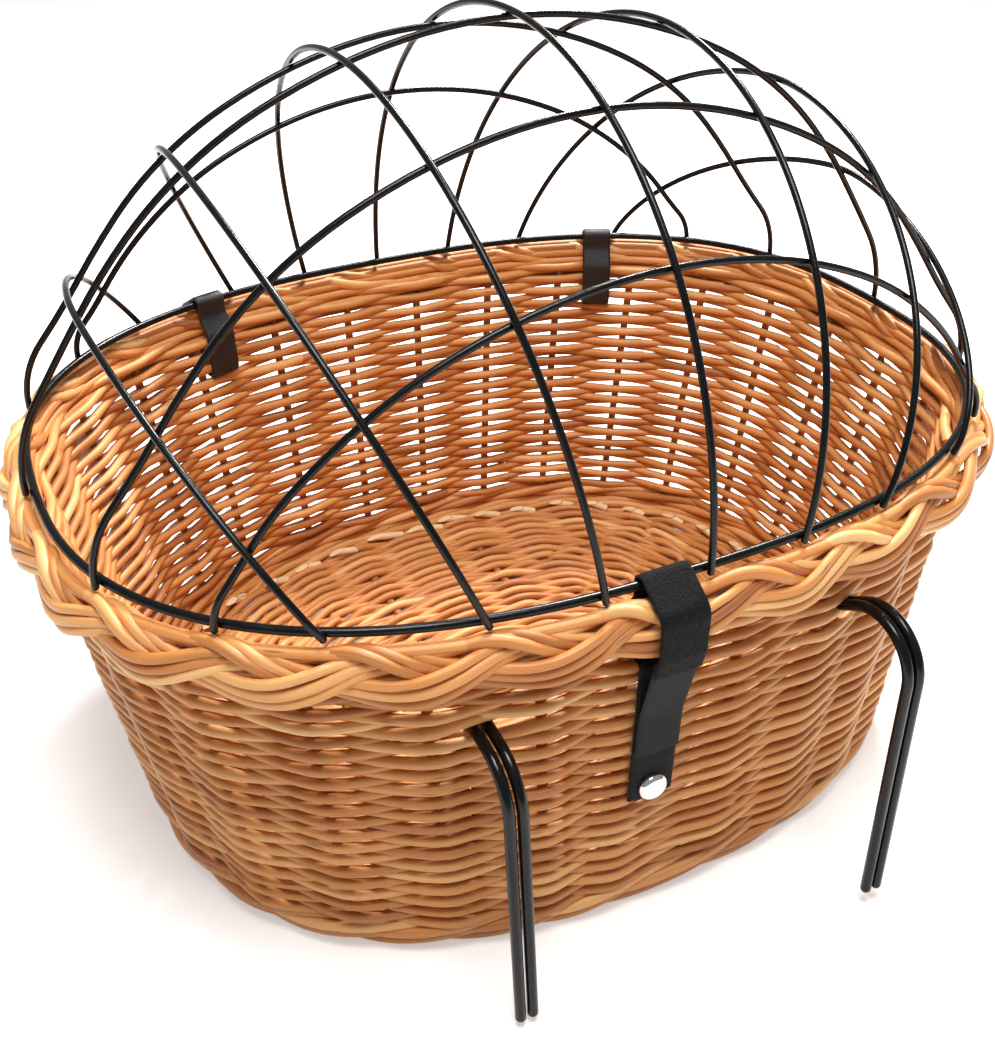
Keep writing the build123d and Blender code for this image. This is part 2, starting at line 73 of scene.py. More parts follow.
# Side weave: plain randing over the stakes, in rods that span 8 to 18 of them
ROW_PITCH = 0.00435
ROW_LOW, ROW_HIGH = 0.0205, 0.1905
WEAVE_INSET = 0.0062
WEAVE_SWING = 0.0040
WEAVE_SHARP = 0.965
WEAVE_ROD, WEAVE_ROD_SPREAD = 0.0056, 0.00018
WEAVE_STEPS = 9
WEAVE_SPANS, WEAVE_SHORTEST = (5, 9), 8
WEAVE_LAP = 0.3
WEAVE_STRAY_OUT, WEAVE_STRAY_UP = 0.00022, 0.00028
WEAVE_THIN, WEAVE_FULL, WEAVE_FULL_POWER = 0.90, 0.13, 0.8
WEAVE_LUMPS = 0.02
WEAVE_TONE, WEAVE_TONE_SPREAD = 0.5, 0.19
TONE_LEAST = 0.05

# Border plait: a plait of three bundles, with a new bundle at each unit, over long rods
UNITS = 26
PLAIT_ROD, PLAIT_ROD_SPREAD = 0.0054, 0.0003
PLAIT_PITCH = 0.0056
PLAIT_LANES = (-1, 0, 1)
PLAIT_CYCLE = 3
PLAIT_FIRST, PLAIT_LAST = -0.45, 2.65
PLAIT_CUT, PLAIT_CUT_SPREAD = -0.16, (-0.05, 0.08)
PLAIT_SWING = 0.0142
PLAIT_LAYER, PLAIT_LEAD = 0.0060, 0.35
PLAIT_LEAST_WIDTH = 0.0006
PLAIT_MIDDLE = radians(47)
PLAIT_STEPS = 22
PLAIT_KNOTS, PLAIT_LUMP_KNOTS, PLAIT_LUMPS = 7, 9, 0.012
PLAIT_STRAY_ACROSS, PLAIT_STRAY_UP = 0.0004, 0.00025
PLAIT_SLANT = 0.5
PLAIT_TONE, PLAIT_TONE_SPREAD = 0.46, 0.26
ROLL_STEPS = 900
CORE_ANGLES = (98, 120, 142, 166, 192, 218)
CORE_DEPTH = 0.0042
CORE_STEPS, CORE_KNOTS, CORE_STRAY = 360, 24, 0.0002
CORE_TONES = (0.2, 0.6)

# Foot waling: the inset, height, rod, swing, rise and phase of each rope of three rods
WALES = [(0.0066, 0.0150, 0.0062, 0.0034, 0.0030, 0.4),
         (0.0098, 0.0062, 0.0058, 0.0031, 0.0031, 2.6),
         (0.0188, 0.0066, 0.0056, 0.0036, 0.0034, 4.1)]
WALE_STRANDS, WALE_STEPS, WALE_LUMPS = 3, 12, 0.03
WALE_TONE, WALE_TONE_SPREAD = 0.5, 0.12

# Base: rings woven inwards over the cross and long sticks
BASE_EDGE, BASE_PITCH, BASE_RINGS, BASE_LEAST = 0.0262, 0.0040, 42, 0.0012
CROSS_STICKS, CROSS_STICK_PITCH, CROSS_STICK_SHARE = 9, 0.040, 0.99
LONG_STICKS, LONG_STICK_PITCH, LONG_STICK_SHARE = 5, 0.046, 0.97
BASE_HEIGHT, BASE_SWING, BASE_SHARP = 0.0064, 0.0032, 0.85
BASE_STEPS, BASE_LEAST_STEPS = 340, 60
BASE_START, BASE_START_STEP = 0.3, 0.4
BASE_KNOTS, BASE_STRAY = 30, 0.0002
BASE_ROD, BASE_ROD_SPREAD = 0.0026, 0.00008
BASE_LUMP_KNOTS, BASE_LUMPS = 20, 0.03
BASE_TONE_SPREAD = 0.2

# Cut stake ends round the base
END_COUNT, END_INSET, END_INSET_SPREAD = 42, 0.022, 0.007
END_LINE, END_TURN, END_TURN_SPREAD = 0.02, 0.07, 0.006
END_LOW, END_HIGH, END_HIGH_SPREAD = 0.0095, 0.0135, 0.0006
END_ROD, END_SLANT, END_STEPS = 0.0026, -2.0, 5
END_TONES = (0.6, 1)

# Closing band, straps and hooks: their places, and the room that the weave leaves them
BAND_X, BAND_WIDTH, BAND_THICKNESS = -0.0205, 0.024, 0.002
BAND_SLOT_Z, STRAP_SLOT_Z = 0.1694, 0.1634
STRAP_X = [-0.1167, 0.1484]
STRAP_WIDTH, STRAP_THICKNESS = 0.0185, 0.0022
HOOK_X, HOOK_Z = [-0.0995, 0.089], [0.1485, 0.1445]
HOOK_ROOM_WIDE, HOOK_ROOM_HIGH, SLOT_ROOM = 0.0062, 0.0048, 0.0033
PART_FAR, PART_NEAR, PART_RAMP = 0.02, 0.018, 0.016
PART_SQUEEZE, PART_REACH = 0.25, 1.34

# Strips: how fine they are, how square their section is, the share of their thickness
# that their rims keep, and the height of a corner over the ring, in distances from it
STRIP_STEP, STRIP_COLUMNS, BEND_STEPS = 0.0009, 24, 3
STRIP_ROUND, STRIP_RIM, STRIP_EDGE = 14, 0.14, 0.2
SAME_PLACE = 1e-6
RING_CLEAR = 1.82

# Band: clearances, the heights of its bends and their radii
TAPE_GAP, TAPE_RING_GAP, TAPE_INNER_GAP = 0.0004, 0.0007, 0.00075
BAND_TOP_Z, BAND_INNER_Z, BAND_END_Z = 0.2004, 0.190, 0.085
BAND_BENDS = [0.004, 0.0025, 0.0025]
FLAP_ROOT_Z, OVER_BORDER_Z, FLAP_LEAVE_Z = 0.2016, 0.201625, 0.180
FLAP_BENDS = [0.008, 0.002]
FLAP_STEP, FLAP_COLUMNS, FLAP_LAP = 0.0003, 64, 0.010
TAB_THICKNESS, TAB_LAP, TAB_LAP_GAP = 0.0015, 0.002, 0.00012
TAB_MEET_Z, TAB_END_Z, TAB_BEND, TAB_NARROW = 0.138, 0.115, 0.040, 0.97

# Loop pile: small bumps from waves that bend each other, and slower ones under them
PILE_SIZE, PILE_HEIGHT, PILE_SLOW_HEIGHT = 0.0011, 0.00016, 0.00007
PILE_ALONG, PILE_ACROSS, PILE_SLOW = (5.1, 1.7, 2.3), (4.7, 1.9, 1.9), (1.1, 3, 1.37)

# Straps: clearances, heights, bends, punched holes, and where they give to the lid
STRAP_GAP, STRAP_INNER_GAP = 0.00035, 0.00065
STRAP_INNER_AT, STRAP_INNER_Z, STRAP_TOP_Z = 0.186, 0.190, 0.2014
STRAP_BEND, STRAP_WIDE_BEND = 0.004, 0.008
HOLE_DROPS = [0.0095, 0.026]
HOLE_SIDES, HOLE_RADIUS, HOLE_REACH = 20, 0.0013, 0.0158


# Oval geometry, for arrays of turns

def signed_power(value, power):
    return np.sign(value) * np.abs(value) ** power


def oval(turn, a, b, z):
    x = a * signed_power(np.cos(turn), 2 / OVAL_POWER)
    y = b * signed_power(np.sin(turn), 2 / OVAL_POWER)
    return np.stack([x, y, np.broadcast_to(z, np.shape(x))], axis=-1)


def oval_out(turn, a, b):
    """Outward directions of the oval at those turns."""
    x = signed_power(np.cos(turn), 2 - 2 / OVAL_POWER) / a
    y = signed_power(np.sin(turn), 2 - 2 / OVAL_POWER) / b
    out = np.stack([x, y, np.zeros_like(x)], axis=-1)
    return out / np.linalg.norm(out, axis=-1, keepdims=True)


def turn_at(x, a, side):
    share = signed_power(x / a, OVAL_POWER / 2)
    turn = np.arctan2(sqrt(max(0.0, 1 - share ** 2)), share)
    return turn if side > 0 else -turn


def wall_axes(z, inset):
    share = (z - FOOT_Z) / (BORDER_Z - FOOT_Z)
    return BASE_A + (TOP_A - BASE_A) * share - inset, BASE_B + (TOP_B - BASE_B) * share - inset


def way_along(line):
    """Length along a line from its start to each of its points."""
    return np.concatenate([[0], np.cumsum(np.linalg.norm(np.diff(line, axis=0), axis=1))])


def even_turns(a, b, count):
    """Turns of points evenly spaced along the oval, with the first at half a space."""
    fine = np.linspace(0, 2 * pi, count * OVAL_STEPS + 1)
    length = way_along(oval(fine, a, b, 0.0))
    return np.interp((np.arange(count) + 0.5) * length[-1] / count, length, fine)


def turn_of_count(s, turns):
    """The turn at a count s of places round the oval, which may lie between places."""
    number = len(turns)
    known = np.concatenate([turns - 2 * pi, turns, turns + 2 * pi])
    return np.interp(s, np.arange(-number, 2 * number), known)


def soft_triangle(phase, sharp=WEAVE_SHARP):
    """A wave of period 2 between 1 and -1, with nearly straight flanks."""
    return np.arcsin(sharp * np.cos(pi * phase)) / asin(sharp)


def wander(length, knots, size):
    """Random values at evenly spaced knots, joined by straight runs."""
    values = rng.normal(0, size, max(2, knots))
    return np.interp(np.linspace(0, len(values) - 1, length), np.arange(len(values)), values)


def tone_near(middle, spread, least=TONE_LEAST):
    return np.clip(rng.normal(middle, spread), least, 1)


# Meshes of rods: each rod carries its tone and its own straightened place, for its grain

class Rods:
    def __init__(self, sides=ROD_SIDES):
        self.sides = sides
        self.points, self.faces, self.places, self.tones = [], [], [], []
        self.count = 0

    def add(self, line, radius, tone, cut=(0.0, 0.0)):
        """A rod along a line; cut slants its two ends."""
        number = len(line)
        radius = np.broadcast_to(radius, (number,)).astype(float)
        way = np.gradient(line, axis=0)
        way /= np.linalg.norm(way, axis=1, keepdims=True)
        side = np.cross(way, np.broadcast_to(UP, line.shape))
        side /= np.linalg.norm(side, axis=1, keepdims=True)
        top = np.cross(side, way)
        angle = np.arange(self.sides) * 2 * pi / self.sides
        ring = (side[:, None, :] * np.cos(angle)[None, :, None]
                + top[:, None, :] * np.sin(angle)[None, :, None])
        body = line[:, None, :] + ring * radius[:, None, None]
        for end, slant in ((0, cut[0]), (-1, cut[1])):
            body[end] += way[end] * (np.sin(angle) * radius[end] * slant)[:, None]
        shift = rng.uniform(0, GRAIN_START)
        place = np.empty(body.shape)
        place[..., 0] = way_along(line)[:, None] + shift
        place[..., 1] = np.cos(angle)[None, :] * radius[:, None] + shift
        place[..., 2] = np.sin(angle)[None, :] * radius[:, None]
        index = np.arange(number * self.sides).reshape(number, self.sides) + self.count
        following = np.roll(index, -1, axis=1)
        quads = np.stack([index[:-1], following[:-1], following[1:], index[1:]], axis=-1)
        self.faces += quads.reshape(-1, 4).tolist()
        self.faces += [index[0][::-1].tolist(), index[-1].tolist()]
        self.points.append(body.reshape(-1, 3))
        self.places.append(place.reshape(-1, 3))
        self.tones.append(np.full(number * self.sides, tone))
        self.count += number * self.sides

    def build(self, name, material):
        return mesh_piece(name, np.concatenate(self.points), self.faces, material,
                          np.concatenate(self.places), np.concatenate(self.tones))


def mesh_piece(name, points, faces, material, places=None, tones=None):
    mesh = bpy.data.meshes.new(name)
    mesh.from_pydata(np.asarray(points).tolist(), [], [list(face) for face in faces])
    if places is not None:
        mesh.attributes.new("rod_place", "FLOAT_VECTOR", "POINT").data.foreach_set(
            "vector", np.asarray(places, np.float32).ravel())
        mesh.attributes.new("rod_tone", "FLOAT", "POINT").data.foreach_set(
            "value", np.asarray(tones, np.float32))
    mesh.materials.append(material)
    mesh.validate()
    mesh.update()
    mesh.shade_smooth()
    mesh.set_sharp_from_angle(angle=EDGE_ANGLE)
    piece = bpy.data.objects.new(name, mesh)
    bpy.context.scene.collection.objects.link(piece)
    return piece


def finish_piece(piece, body, replaced=()):
    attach(piece, body)
    if replaced:
        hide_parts(*replaced)


# Materials

class Nodes:
    """Builds one node material with short calls."""

    def __init__(self, name):
        self.material = bpy.data.materials.new(name)
        self.material.use_nodes = True
        self.tree = self.material.node_tree
        self.surface = self.tree.nodes["Principled BSDF"]

    def new(self, kind, inputs=(), **settings):
        node = self.tree.nodes.new(kind)
        for key, value in settings.items():
            setattr(node, key, value)
        for key, value in dict(inputs).items():
            self.put(node.inputs[key], value)
        return node

    def put(self, socket, value):
        if isinstance(value, bpy.types.NodeSocket):
            self.tree.links.new(value, socket)
        else:
            socket.default_value = value

    def set(self, **inputs):
        for key, value in inputs.items():
            self.put(self.surface.inputs[key.replace("_", " ")], value)

    def math(self, operation, first, second):
        return self.new("ShaderNodeMath", {0: first, 1: second}, operation=operation).outputs[0]

    def line(self, value, slope, start):
        return self.math("ADD", self.math("MULTIPLY", value, slope), start)

    def ramp(self, value, stops):
        node = self.new("ShaderNodeValToRGB", {"Fac": value})
        for element, (place, colour) in zip(node.color_ramp.elements, stops[:2]):
            element.position, element.color = place, (*colour, 1)
        for place, colour in stops[2:]:
            node.color_ramp.elements.new(place).color = (*colour, 1)
        return node.outputs["Color"]

    def noise(self, vector, scale, detail=3.0, rough=0.55):
        inputs = {"Vector": vector, "Scale": scale, "Detail": detail, "Roughness": rough}
        return self.new("ShaderNodeTexNoise", inputs).outputs["Fac"]

    def mix(self, share, first, second):
        node = self.new("ShaderNodeMix", {"Factor": share}, data_type="RGBA")
        colours = [socket for socket in node.inputs if socket.type == "RGBA"]
        self.put(colours[0], first)
        self.put(colours[1], second)
        return next(socket for socket in node.outputs if socket.type == "RGBA")

    def stretch(self, vector, scale):
        return self.new("ShaderNodeMapping", {"Vector": vector, "Scale": scale}).outputs[0]

    def bump(self, height, distance, strength=1.0):
        inputs = {"Height": height, "Distance": distance, "Strength": strength}
        return self.new("ShaderNodeBump", inputs).outputs["Normal"]

    def object_place(self):
        return self.new("ShaderNodeTexCoord").outputs["Object"]


def willow(name, pale, middle, deep):
    """Peeled and steamed willow: a tone for each rod, grain along it and dark bud marks."""
    grain_scale, cloud_scale, bud_scale = (14, 900, 900), (9, 60, 60), (26, 190, 190)
    tone_share, cloud_share, grain_share = 0.62, 0.42, 0.34
    deep_at, middle_at, pale_at = 0.12, 0.5, 0.88
    bud_inside, bud_outside, bud_share, bud_depth = 0.05, 0.15, 0.55, 0.9
    bud_colour = (0.10, 0.035, 0.012, 1)
    relief_depth, relief_strength = 0.00022, 0.8
    grain_middle, rough_spread, rough = 0.5, 0.25, 0.34
    n = Nodes(name)
    place = n.new("ShaderNodeAttribute", attribute_name="rod_place").outputs["Vector"]
    tone = n.new("ShaderNodeAttribute", attribute_name="rod_tone").outputs["Fac"]
    grain = n.noise(n.stretch(place, grain_scale), 1.0, detail=4.0, rough=0.6)
    cloud = n.noise(n.stretch(place, cloud_scale), 1.0, detail=2.0)
    mixed = n.line(tone, tone_share, n.math("MULTIPLY", cloud, cloud_share))
    mixed = n.line(n.math("SUBTRACT", grain, grain_middle), grain_share, mixed)
    colour = n.ramp(mixed, [(deep_at, deep), (middle_at, middle), (pale_at, pale)])
    cells = n.new("ShaderNodeTexVoronoi", {"Vector": n.stretch(place, bud_scale), "Scale": 1.0})
    marks = n.ramp(cells.outputs["Distance"],
                   [(bud_inside, (1, 1, 1)), (bud_outside, (0, 0, 0))])
    relief = n.math("SUBTRACT", grain, n.math("MULTIPLY", marks, bud_depth))
    n.set(Base_Color=n.mix(n.math("MULTIPLY", marks, bud_share), colour, bud_colour),
          Roughness=n.line(grain, rough_spread, rough), Specular_IOR_Level=0.45,
          Normal=n.bump(relief, relief_depth, relief_strength))
    return n.material


def stake_willow():
    """The upright rods and base sticks: their grain runs along the world's axes."""
    grain_scale, cloud_scale, relief_depth = (700, 700, 30), 18.0, 0.0003
    deep, pale = (0.20, 0.065, 0.018), (0.47, 0.19, 0.062)
    deep_at, pale_at, half = 0.25, 0.6, 0.5
    rough_spread, rough = 0.3, 0.4
    n = Nodes("willow_stake_grain")
    place = n.object_place()
    grain = n.noise(n.stretch(place, grain_scale), 1.0, detail=4.0, rough=0.6)
    cloud = n.noise(place, cloud_scale, detail=2.0)
    mixed = n.line(grain, half, n.math("MULTIPLY", cloud, half))
    n.set(Base_Color=n.ramp(mixed, [(deep_at, deep), (pale_at, pale)]),
          Roughness=n.line(grain, rough_spread, rough),
          Normal=n.bump(grain, relief_depth))
    return n.material


def coating(name, roughness, grain_size, depth):
    """Black powder coat: glossy, with the faint skin of a baked coating."""
    wear_scale, deep, worn = 55.0, (0.002, 0.002, 0.0022), (0.006, 0.006, 0.0065)
    deep_at, worn_at, rough_spread = 0.3, 0.75, 0.14
    n = Nodes(name)
    place = n.object_place()
    skin = n.noise(place, 1 / grain_size, detail=2.0)
    wear = n.noise(place, wear_scale)
    n.set(Base_Color=n.ramp(wear, [(deep_at, deep), (worn_at, worn)]),
          Roughness=n.line(wear, rough_spread, roughness), Specular_IOR_Level=0.26,
          Normal=n.bump(skin, depth))
    return n.material


def loop_tape():
    """Loop tape: a matt pile of small loops, with painted shade darkening the gaps between
    them.
    """
    loop_scale, fluff_scale, relief_depth = 1150.0, 2600.0, 0.0004
    # gap is painted shade: the colour darkens from each loop towards the gaps between loops,
    # where shade falls
    loop, gap, loop_at, gap_shade_at = (0.012, 0.012, 0.013), (0.002, 0.002, 0.002), 0.1, 0.6
    n = Nodes("loop_tape_pile")
    place = n.object_place()
    cells = n.new("ShaderNodeTexVoronoi", {"Vector": place, "Scale": loop_scale})
    far = cells.outputs["Distance"]
    relief = n.math("SUBTRACT", n.noise(place, fluff_scale), far)
    # The colour ramp paints shade into the gaps between the loops
    n.set(Base_Color=n.ramp(far, [(loop_at, loop), (gap_shade_at, gap)]), Roughness=0.75,
          Sheen_Weight=0.03, Sheen_Roughness=0.4, Specular_IOR_Level=0.2,
          Normal=n.bump(relief, relief_depth))
    return n.material


def woven_tape(name, shade):
    """The smooth woven back of hook tape, with its fine ribs across the band."""
    rib_scale, rib_stray, weft_scale, weft_stray = 620.0, 0.4, 480.0, 0.3
    cloud_scale, relief_depth, lighter = 60.0, 0.00018, 2.1
    shade_at, light_at = 0.3, 0.8
    n = Nodes(name)
    place = n.object_place()
    ribs = n.new("ShaderNodeTexWave",
                 {"Vector": place, "Scale": rib_scale, "Distortion": rib_stray},
                 wave_type="BANDS", bands_direction="X")
    weft = n.new("ShaderNodeTexWave",
                 {"Vector": place, "Scale": weft_scale, "Distortion": weft_stray},
                 wave_type="BANDS", bands_direction="Z")
    weave = n.math("MULTIPLY", ribs.outputs["Fac"], weft.outputs["Fac"])
    light = tuple(lighter * value for value in shade)
    colour = n.ramp(n.noise(place, cloud_scale), [(shade_at, shade), (light_at, light)])
    n.set(Base_Color=colour, Roughness=0.55, Specular_IOR_Level=0.16,
          Normal=n.bump(weave, relief_depth))
    return n.material


def leather():
    """Black leather with fine pebbles."""
    pebble_scale, cloud_scale, relief_depth = 1500.0, 90.0, 0.0002
    rough_spread, rough = 0.25, 0.42
    deep, pale, deep_at, pale_at = (0.004, 0.004, 0.0045), (0.012, 0.012, 0.013), 0.3, 0.8
    n = Nodes("black_leather_grain")
    place = n.object_place()
    cells = n.new("ShaderNodeTexVoronoi", {"Vector": place, "Scale": pebble_scale},
                  feature="SMOOTH_F1")
    cloud = n.noise(place, cloud_scale, detail=4.0)
    n.set(Base_Color=n.ramp(cloud, [(deep_at, deep), (pale_at, pale)]),
          Roughness=n.line(cloud, rough_spread, rough),
          Normal=n.bump(cells.outputs["Distance"], relief_depth))
    return n.material


def metal(name, colour, roughness):
    """Plated metal with fine scratches."""
    scratch_scale, darker, dark_at, full_at = (240, 1900, 500), 0.9, 0.2, 0.8
    rough_spread = 0.08
    n = Nodes(name)
    scratch = n.noise(n.stretch(n.object_place(), scratch_scale), 1.0)
    dark = tuple(darker * value for value in colour)
    n.set(Base_Color=n.ramp(scratch, [(dark_at, dark), (full_at, colour)]), Metallic=1.0,
          Roughness=n.line(scratch, rough_spread, roughness))
    return n.material


WILLOW = willow("willow_grain", pale=(0.92, 0.56, 0.23), middle=(0.70, 0.28, 0.075),
                deep=(0.32, 0.09, 0.019))
WEAVE_WILLOW = willow("willow_weave_grain", pale=(0.86, 0.48, 0.19),
                      middle=(0.62, 0.25, 0.068), deep=(0.28, 0.08, 0.018))
CUT_WILLOW = willow("willow_pith", pale=(0.90, 0.70, 0.42), middle=(0.84, 0.58, 0.30),
                    deep=(0.7, 0.42, 0.18))
STAKE_WILLOW = stake_willow()
WIRE_COAT = coating("wire_coating", roughness=0.16, grain_size=0.0006, depth=0.00005)
ROD_COAT = coating("rod_coating", roughness=0.12, grain_size=0.0009, depth=0.00004)
LOOP_TAPE = loop_tape()
HOOK_TAPE = woven_tape("hook_tape_back", shade=(0.0045, 0.0045, 0.005))
LEATHER = leather()
CHROME = metal("chrome_rivet", colour=(0.90, 0.90, 0.92), roughness=0.05)
STEEL = metal("buckle_nickel", colour=(0.66, 0.65, 0.62), roughness=0.18)
CAD_MATERIALS = {("cross_hoop", "long_hoop", "cage_ring"): WIRE_COAT, ("hook_",): ROD_COAT,
                 ("buckle",): STEEL, ("rivet",): CHROME,
                 ("side_stakes", "base_sticks"): STAKE_WILLOW}

# The CAD nodes that show get their materials; their meshes stay as they are.
for node in nodes:
    for starts, material in CAD_MATERIALS.items():
        if node.startswith(starts):
            for slot in nodes[node].material_slots:
                slot.link = "OBJECT"
                slot.material = material


# Wall: its stakes, and the rods woven round them

def stake_turns():
    """The stakes' turns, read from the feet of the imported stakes."""
    points = np.array([v.co for v in nodes["side_stakes"].data.vertices])
    feet = points[points[:, 2] < points[:, 2].min() + FEET_DEPTH]
    a, b = wall_axes(FEET_Z, WALL_THICKNESS / 2)
    turn = np.arctan2(signed_power(feet[:, 1] / b, OVAL_POWER / 2),
                      signed_power(feet[:, 0] / a, OVAL_POWER / 2)) % (2 * pi)
    turn = np.sort(turn)
    breaks = np.where(np.diff(turn) > STAKE_BREAK)[0] + 1
    return np.array([group.mean() for group in np.split(turn, breaks)])


STAKES = stake_turns()


def part_weave(points):
    """Moves the woven rods up or down where a hook, the band or a strap goes through."""
    ways = [(x, z, HOOK_ROOM_WIDE, HOOK_ROOM_HIGH, -1) for x, z in zip(HOOK_X, HOOK_Z)]
    ways.append((BAND_X, BAND_SLOT_Z, BAND_WIDTH / 2, SLOT_ROOM, -1))
    ways += [(x, STRAP_SLOT_Z, STRAP_WIDTH / 2, SLOT_ROOM, 1) for x in STRAP_X]
    for x, z, half, room, side in ways:
        beside = np.abs(points[:, 0] - x)
        near = (points[:, 1] * side > 0) & (beside < half + PART_FAR)
        away = np.clip((half + PART_NEAR - beside) / PART_RAMP, 0, 1)
        drop = points[:, 2] - z
        gap = np.abs(drop)
        wanted = np.where(drop >= 0, 1, -1) * np.maximum(gap, room + gap * PART_SQUEEZE)
        reached = near & (gap < room * PART_REACH)
        points[:, 2] += np.where(reached, (wanted - drop) * away, 0)


def side_weave():
    rods = Rods()
    number = len(STAKES)
    for row, height in enumerate(np.arange(ROW_LOW, ROW_HIGH, ROW_PITCH)):
        start = rng.integers(0, number)
        start += (start + row + 1) % 2
        done = 0
        while done < number:
            left = number - done
            span = int(rng.integers(*WEAVE_SPANS)) * 2
            if left - span < WEAVE_SHORTEST:
                span = left
            first, last = start + done - WEAVE_LAP, start + done + span + WEAVE_LAP
            count = int((last - first) * WEAVE_STEPS)
            s = np.linspace(first, last, count)
            turn = turn_of_count(s % number, STAKES)
            a, b = wall_axes(height, WEAVE_INSET)
            wave = soft_triangle(s + row)
            swing = WEAVE_SWING * wave + wander(count, span, WEAVE_STRAY_OUT)
            line = oval(turn, a, b, height) + oval_out(turn, a, b) * swing[:, None]
            line[:, 2] += wander(count, span, WEAVE_STRAY_UP)
            part_weave(line)
            taper = TAPER_FROM - TAPER_BY * np.linspace(0, 1, count)
            thick = rng.normal(WEAVE_ROD, WEAVE_ROD_SPREAD) * taper
            lens = WEAVE_THIN + WEAVE_FULL * np.abs(wave) ** WEAVE_FULL_POWER
            radius = thick / 2 * lens * (1 + wander(count, span, WEAVE_LUMPS))
            tone = tone_near(WEAVE_TONE, WEAVE_TONE_SPREAD)
            rods.add(line, radius, tone, cut=(rng.uniform(-1, 1), rng.uniform(-1, 1)))
            done += span
    piece = rods.build("side_randing", WEAVE_WILLOW)
    finish_piece(piece, "basket", ["side_weave"])


# Border plait: bundles that go over and under each other round the roll

def roll_table():
    """Arc length along the roll's upper layer against the angle round it."""
    angle = np.linspace(-pi, 2 * pi, ROLL_STEPS)
    wide = BORDER_HALF_WIDTH - PLAIT_ROD / 2
    high = BORDER_HALF_HEIGHT - PLAIT_ROD / 2
    speed = np.hypot(wide * np.sin(angle), high * np.cos(angle))
    length = np.concatenate([[0], np.cumsum((speed[1:] + speed[:-1]) / 2 * np.diff(angle))])
    return length - np.interp(PLAIT_MIDDLE, angle, length), angle


ROLL_LENGTH, ROLL_ANGLE = roll_table()
UNIT_TURNS = even_turns(BORDER_A, BORDER_B, UNITS)


def on_roll(turn, wide, high, angle):
    """Points at an angle round the roll, for its half width and half height there."""
    line = oval(turn, BORDER_A, BORDER_B, BORDER_Z)
    line += oval_out(turn, BORDER_A, BORDER_B) * (wide * np.cos(angle))[:, None]
    line[:, 2] += high * np.sin(angle)
    return line


def plait_line(unit, t, across, lift):
    """One rod of a bundle: t counts units from the bundle's highest place, as it goes to
    the lower edge and back, on top of the others twice in each cycle."""
    turn = turn_of_count((unit + t) % UNITS, UNIT_TURNS)
    height = PLAIT_SWING * np.cos(2 * pi * t / PLAIT_CYCLE) + across
    angle = np.interp(height, ROLL_LENGTH, ROLL_ANGLE)
    layer = np.sin(4 * pi * t / PLAIT_CYCLE + PLAIT_LEAD)
    depth = PLAIT_ROD / 2 + (1 - layer) / 2 * PLAIT_LAYER - lift
    wide = np.maximum(BORDER_HALF_WIDTH - depth, PLAIT_LEAST_WIDTH)
    return on_roll(turn, wide, BORDER_HALF_HEIGHT - depth, angle)


def border_core(rods):
    """Long rods that lie under the plait, seen along its inner side."""
    turn = np.linspace(0, 2 * pi, CORE_STEPS)
    for angle in np.radians(CORE_ANGLES):
        out = (BORDER_HALF_WIDTH - CORE_DEPTH) * np.cos(angle)
        out = out + wander(CORE_STEPS, CORE_KNOTS, CORE_STRAY)
        line = oval(turn, BORDER_A, BORDER_B, BORDER_Z)
        line += oval_out(turn, BORDER_A, BORDER_B) * out[:, None]
        line[:, 2] += (BORDER_HALF_HEIGHT - CORE_DEPTH) * np.sin(angle)
        rods.add(line, PLAIT_ROD / 2, rng.uniform(*CORE_TONES))


def border_plait():
    rods = Rods(THICK_ROD_SIDES)
    for unit in range(UNITS):
        for lane in PLAIT_LANES:
            first = PLAIT_FIRST
            if lane == PLAIT_LANES[-1]:
                first = PLAIT_CUT + rng.uniform(*PLAIT_CUT_SPREAD)
            count = int((PLAIT_LAST - first) * PLAIT_STEPS)
            t = np.linspace(first, PLAIT_LAST, count)
            across = lane * PLAIT_PITCH + wander(count, PLAIT_KNOTS, PLAIT_STRAY_ACROSS)
            lift = wander(count, PLAIT_KNOTS, PLAIT_STRAY_UP)
            line = plait_line(unit, t, across, lift)
            size = rng.normal(PLAIT_ROD, PLAIT_ROD_SPREAD)
            taper = TAPER_FROM - TAPER_BY * np.linspace(0, 1, count)
            radius = size / 2 * taper * (1 + wander(count, PLAIT_LUMP_KNOTS, PLAIT_LUMPS))
            tone = tone_near(PLAIT_TONE, PLAIT_TONE_SPREAD)
            rods.add(line, radius, tone, cut=(PLAIT_SLANT, PLAIT_SLANT))
    border_core(rods)
    piece = rods.build("border_plait", WILLOW)
    finish_piece(piece, "basket", ["border_braid"])


# Foot: ropes of three thick rods, and the base woven inside them

def wale(rods, inset, height, rod, swing, rise, phase):
    number = len(STAKES)
    count = number * WALE_STEPS + 1
    a, b = BASE_A - inset, BASE_B - inset
    s = np.linspace(0, number, count)
    turn = turn_of_count(s, STAKES)
    for strand in range(WALE_STRANDS):
        bow = 2 * pi * (s + strand) / WALE_STRANDS + phase
        line = oval(turn, a, b, height) + oval_out(turn, a, b) * (swing * np.cos(bow))[:, None]
        line[:, 2] += rise * np.sin(bow)
        radius = rod / 2 * (1 + wander(count, number, WALE_LUMPS))
        rods.add(line, radius, tone_near(WALE_TONE, WALE_TONE_SPREAD, least=0))


def foot():
    rods = Rods(THICK_ROD_SIDES)
    for rope in WALES:
        wale(rods, *rope)
    piece = rods.build("foot_waling", WEAVE_WILLOW)
    finish_piece(piece, "basket", ["foot_wale"])


